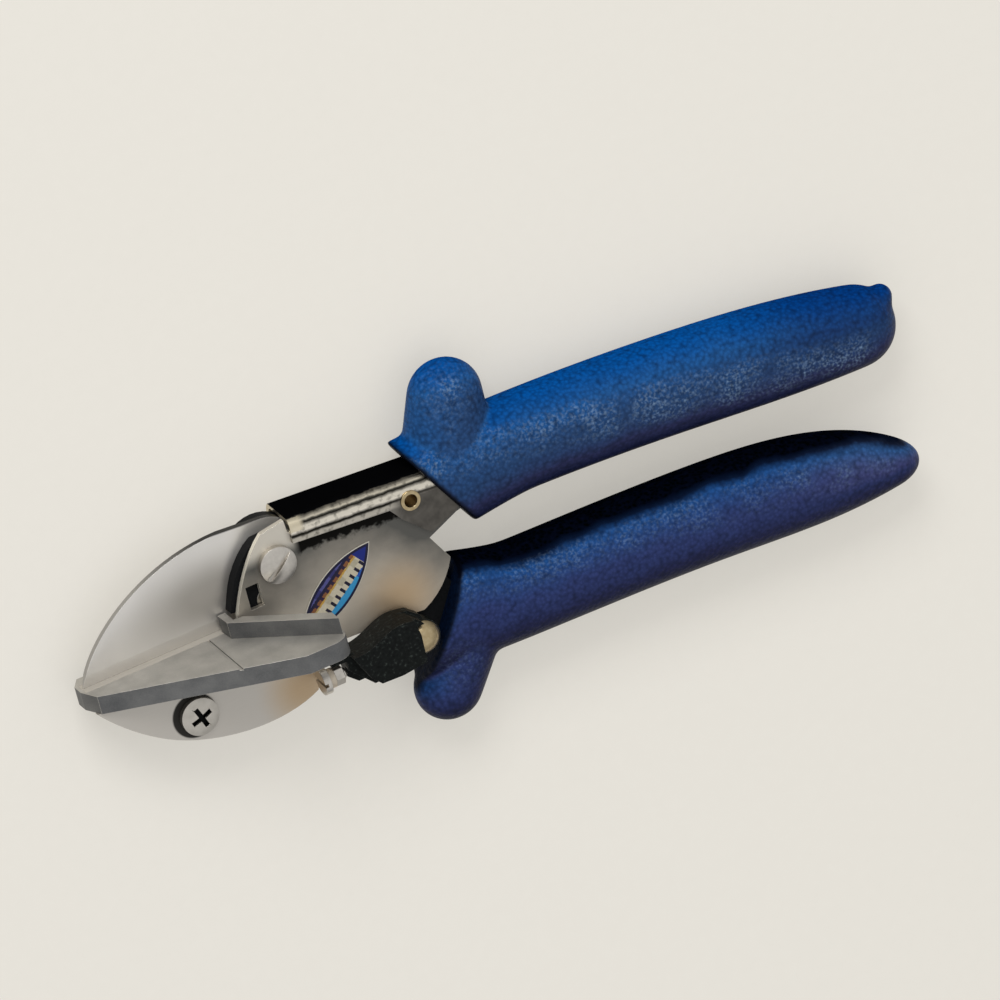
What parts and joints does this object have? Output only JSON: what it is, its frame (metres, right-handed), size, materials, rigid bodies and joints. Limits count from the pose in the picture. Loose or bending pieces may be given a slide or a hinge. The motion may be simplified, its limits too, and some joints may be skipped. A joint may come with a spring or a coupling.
{
  "type": "mitre shears",
  "caption": "Hand-held mitre shears with a flat table, a slanted fence, one blade closing on an anvil, two sleeved grips and a thumb catch.",
  "frame": {"origin": "the mitre point: on top of the anvil strip, in the mid-plane of the blade, where the line of the fence's guide face meets the cutting edge", "axes": "+X runs along the closed cutting edge towards the handles, +Y is up from the anvil in the plane of the cut, +Z is square to the blade on the side of the mitre table"},
  "size_m": [0.2174, 0.0881, 0.0397],
  "materials": {
    "cheek_steel": "satin",
    "channel_chrome": "polished",
    "brass": "satin",
    "blue_vinyl": "matte",
    "grey_casting": "matte",
    "anvil_nylon": "matte",
    "screw_steel": "satin",
    "label_foil": "glossy",
    "blade_steel": "polished",
    "black_paint": "matte",
    "spring_steel": "satin",
    "black_plastic": "matte"
  },
  "bodies": {
    "body": {"near_cheek": "cheek_steel", "far_cheek": "cheek_steel", "channel": "channel_chrome", "spacer_rivet": "brass", "upper_grip": "blue_vinyl", "mitre_table": "grey_casting", "anvil_strip": "anvil_nylon", "mitre_fence": "grey_casting", "fence_screws": "screw_steel", "jaw_screw": "screw_steel", "jaw_nut": "screw_steel", "label_plate": "label_foil", "stop_screw": "screw_steel", "lock_nut": "screw_steel", "pivot_bolt": "screw_steel", "pivot_nut": "screw_steel", "pivot_washers": "brass", "upper_spring_seat": "screw_steel", "return_spring": "spring_steel"},
    "blade_lever": {"blade": "blade_steel", "blade_clamp": "black_paint", "blade_screws": "screw_steel", "blade_arm": "black_paint", "lower_grip": "blue_vinyl", "lower_spring_seat": "screw_steel", "pivot_bush": "brass", "catch_pin": "brass", "catch_spacer": "screw_steel"},
    "catch": {"thumb_catch": "black_plastic"}
  },
  "joints": [
    {"name": "handle_open", "type": "hinge", "parent": "body", "child": "blade_lever", "pos_m": [0.0223, 0.0132, 0], "axis": [0, 0, -1], "range_deg": [0, 25], "deforming": ["return_spring"]},
    {"name": "catch_swing", "type": "hinge", "parent": "blade_lever", "child": "catch", "pos_m": [0.0504, -0.0174, 0], "axis": [0, 0, -1], "range_deg": [0, 75]}
  ],
  "couplings": [
    {"joint": "catch_swing", "follows": "handle_open", "ratio": 3}
  ]
}
